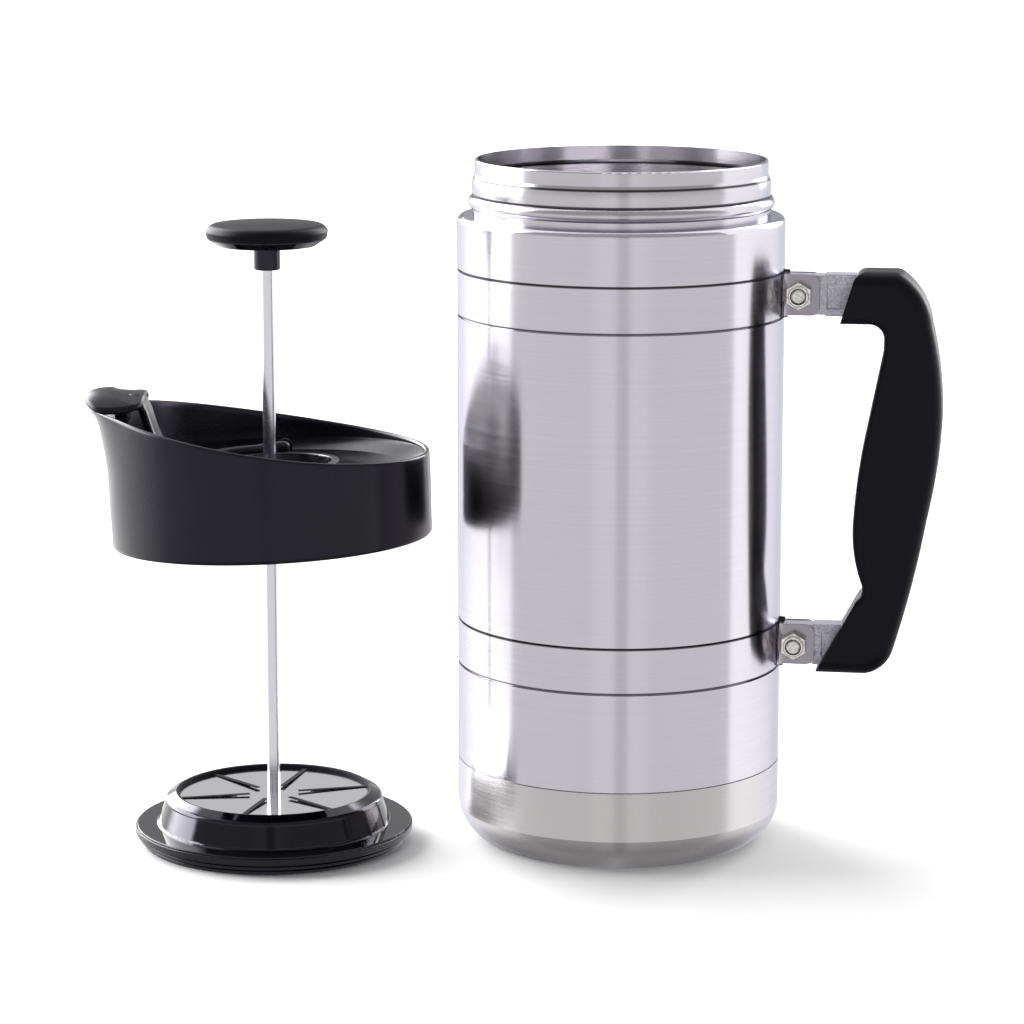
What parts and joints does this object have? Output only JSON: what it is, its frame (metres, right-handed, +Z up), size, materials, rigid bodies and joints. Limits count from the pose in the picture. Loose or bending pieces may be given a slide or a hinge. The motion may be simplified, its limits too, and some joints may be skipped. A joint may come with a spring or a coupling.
{
  "type": "french press",
  "caption": "Double-walled steel french press taken apart: handled carafe, and a plunger with its lid hung on the rod and a flip-up spout cap.",
  "frame": {"origin": "centre of the carafe's flat base, on the table", "axes": "+Z up the carafe, +X towards its handle, +Y away from the side seen in front"},
  "size_m": [0.2905, 0.1398, 0.2366],
  "materials": {
    "brushed_shell": "fine brushing round the body, satin",
    "satin_steel": "satin",
    "band_steel": "fine satin, pressed",
    "cast_alloy": "as cast, lightly blasted",
    "grip_rubber": "soft-touch matt",
    "bolt_steel": "machined",
    "nut_steel": "bright zinc",
    "nylon": "matt",
    "polished_steel": "polished",
    "knob_plastic": "fine matt",
    "gloss_black": "gloss, slight flow marks",
    "brass": "machined",
    "mesh_steel": "woven",
    "seal_silicone": "satin silicone",
    "lid_plastic": "semi-matt moulded",
    "lid_deck_plastic": "semi-matt moulded",
    "cap_plastic": "semi-matt moulded"
  },
  "bodies": {
    "carafe": {"inner_vessel": "satin_steel", "outer_shell": "brushed_shell", "base_cup": "brushed_shell", "lower_band": "band_steel", "upper_band": "band_steel", "handle_core": "cast_alloy", "handle_grip": "grip_rubber", "lower_bolt": "bolt_steel", "upper_bolt": "bolt_steel", "lower_locknut": "nut_steel", "upper_locknut": "nut_steel", "lower_nut_insert": "nylon", "upper_nut_insert": "nylon"},
    "plunger": {"rod": "polished_steel", "knob_cap": "knob_plastic", "knob_base": "gloss_black", "knob_insert": "brass", "filter_frame": "gloss_black", "press_plate": "polished_steel", "press_hub": "satin_steel", "mesh_screen": "mesh_steel", "lower_retainer": "gloss_black", "retainer_screw": "bolt_steel", "wiper_seal": "seal_silicone"},
    "rod_seal": {"rod_seal": "seal_silicone"},
    "lid": {"lid_shell": "lid_plastic", "lid_deck": "lid_deck_plastic", "lid_gasket": "seal_silicone", "front_hinge_pin": "bolt_steel", "back_hinge_pin": "bolt_steel"},
    "flip_cap": {"flip_cap": "cap_plastic", "spout_plug": "seal_silicone"}
  },
  "joints": [
    {"name": "press_lift", "type": "slide", "parent": "carafe", "child": "plunger", "axis": [0, 0, 1], "range_m": [0, 0.25]},
    {"name": "lid_slide", "type": "slide", "parent": "plunger", "child": "rod_seal", "axis": [0, 0, 1], "range_m": [-0.1, 0.069]},
    {"name": "lid_turn", "type": "hinge", "parent": "rod_seal", "child": "lid", "pos_m": [-0.1173, -0.0285, 0.12805], "axis": [0, 0, 1], "continuous": true},
    {"name": "flip_hinge", "type": "hinge", "parent": "lid", "child": "flip_cap", "pos_m": [-0.11424, -0.02782, 0.13454], "axis": [-0.1522, 0.9878, -0.0316], "range_deg": [0, 50]}
  ]
}
